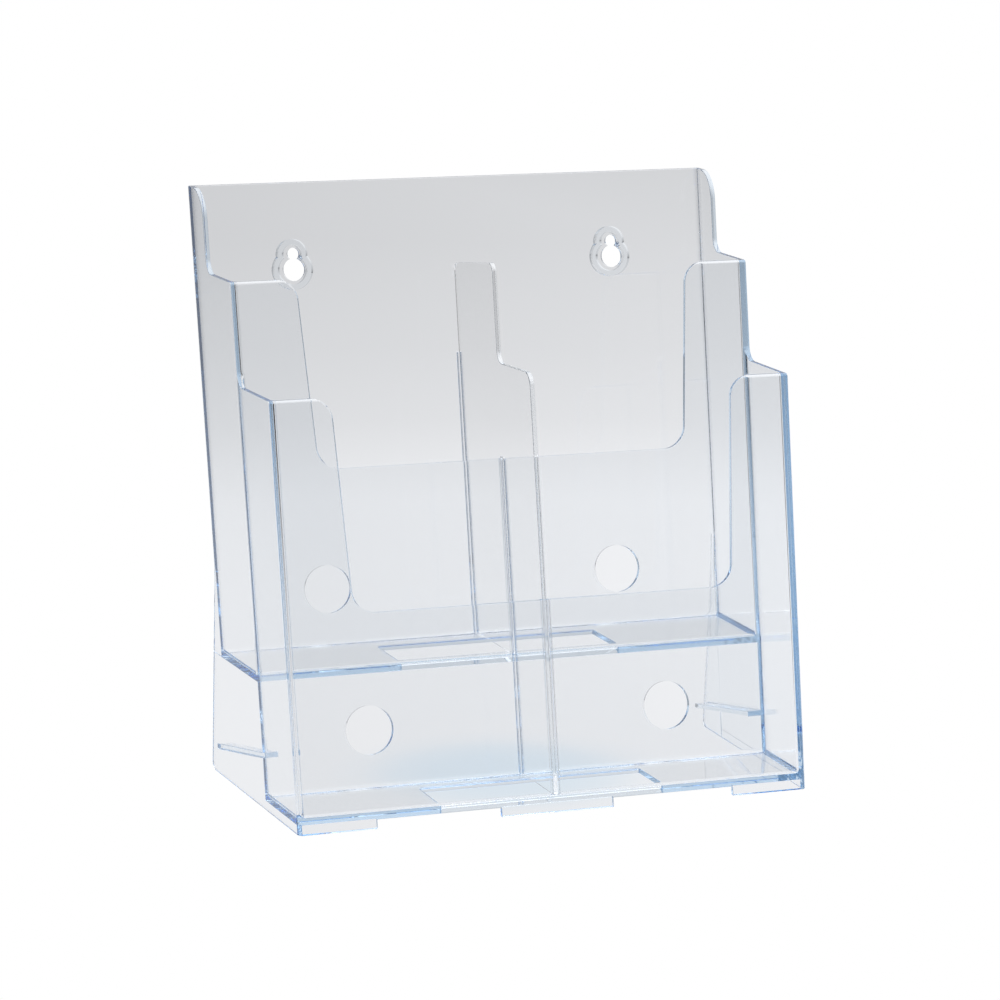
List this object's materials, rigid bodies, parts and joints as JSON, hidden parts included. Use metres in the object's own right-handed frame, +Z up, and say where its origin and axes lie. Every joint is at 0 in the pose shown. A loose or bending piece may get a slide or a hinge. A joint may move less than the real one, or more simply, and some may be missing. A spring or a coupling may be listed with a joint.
{
  "type": "leaflet rack",
  "caption": "Clear two-tier leaflet rack with stepped leaning pockets, finger cut-outs, keyholes for wall hanging and a lift-out stepped divider.",
  "frame": {"origin": "on the standing plane, at the bottom centre of the bounding box", "axes": "+Z up, +X to the right as seen from the front, -Y towards the front"},
  "size_m": [0.238, 0.1402, 0.254],
  "materials": {
    "clear_moulding": "clear polished polystyrene",
    "clear_divider": "clear polished polystyrene"
  },
  "bodies": {
    "holder": {"back_panel": "clear_moulding", "left_side_wall": "clear_moulding", "right_side_wall": "clear_moulding", "middle_panel": "clear_moulding", "front_panel": "clear_moulding", "rear_pocket_floor": "clear_moulding", "front_pocket_floor": "clear_moulding", "left_keyhole_collar": "clear_moulding", "right_keyhole_collar": "clear_moulding", "left_ledge_rib": "clear_moulding", "right_ledge_rib": "clear_moulding", "left_foot": "clear_moulding", "middle_foot": "clear_moulding", "right_foot": "clear_moulding", "back_guide_rib_left": "clear_moulding", "back_guide_rib_right": "clear_moulding", "middle_guide_rib_left": "clear_moulding", "middle_guide_rib_right": "clear_moulding", "pocket_guide_rib_left": "clear_moulding", "pocket_guide_rib_right": "clear_moulding", "front_guide_rib_left": "clear_moulding", "front_guide_rib_right": "clear_moulding"},
    "divider": {"divider": "clear_divider"}
  },
  "joints": [
    {"name": "divider_lift", "type": "slide", "parent": "holder", "child": "divider", "axis": [0, 0.1702, 0.9854], "range_m": [0, 0.2]}
  ]
}
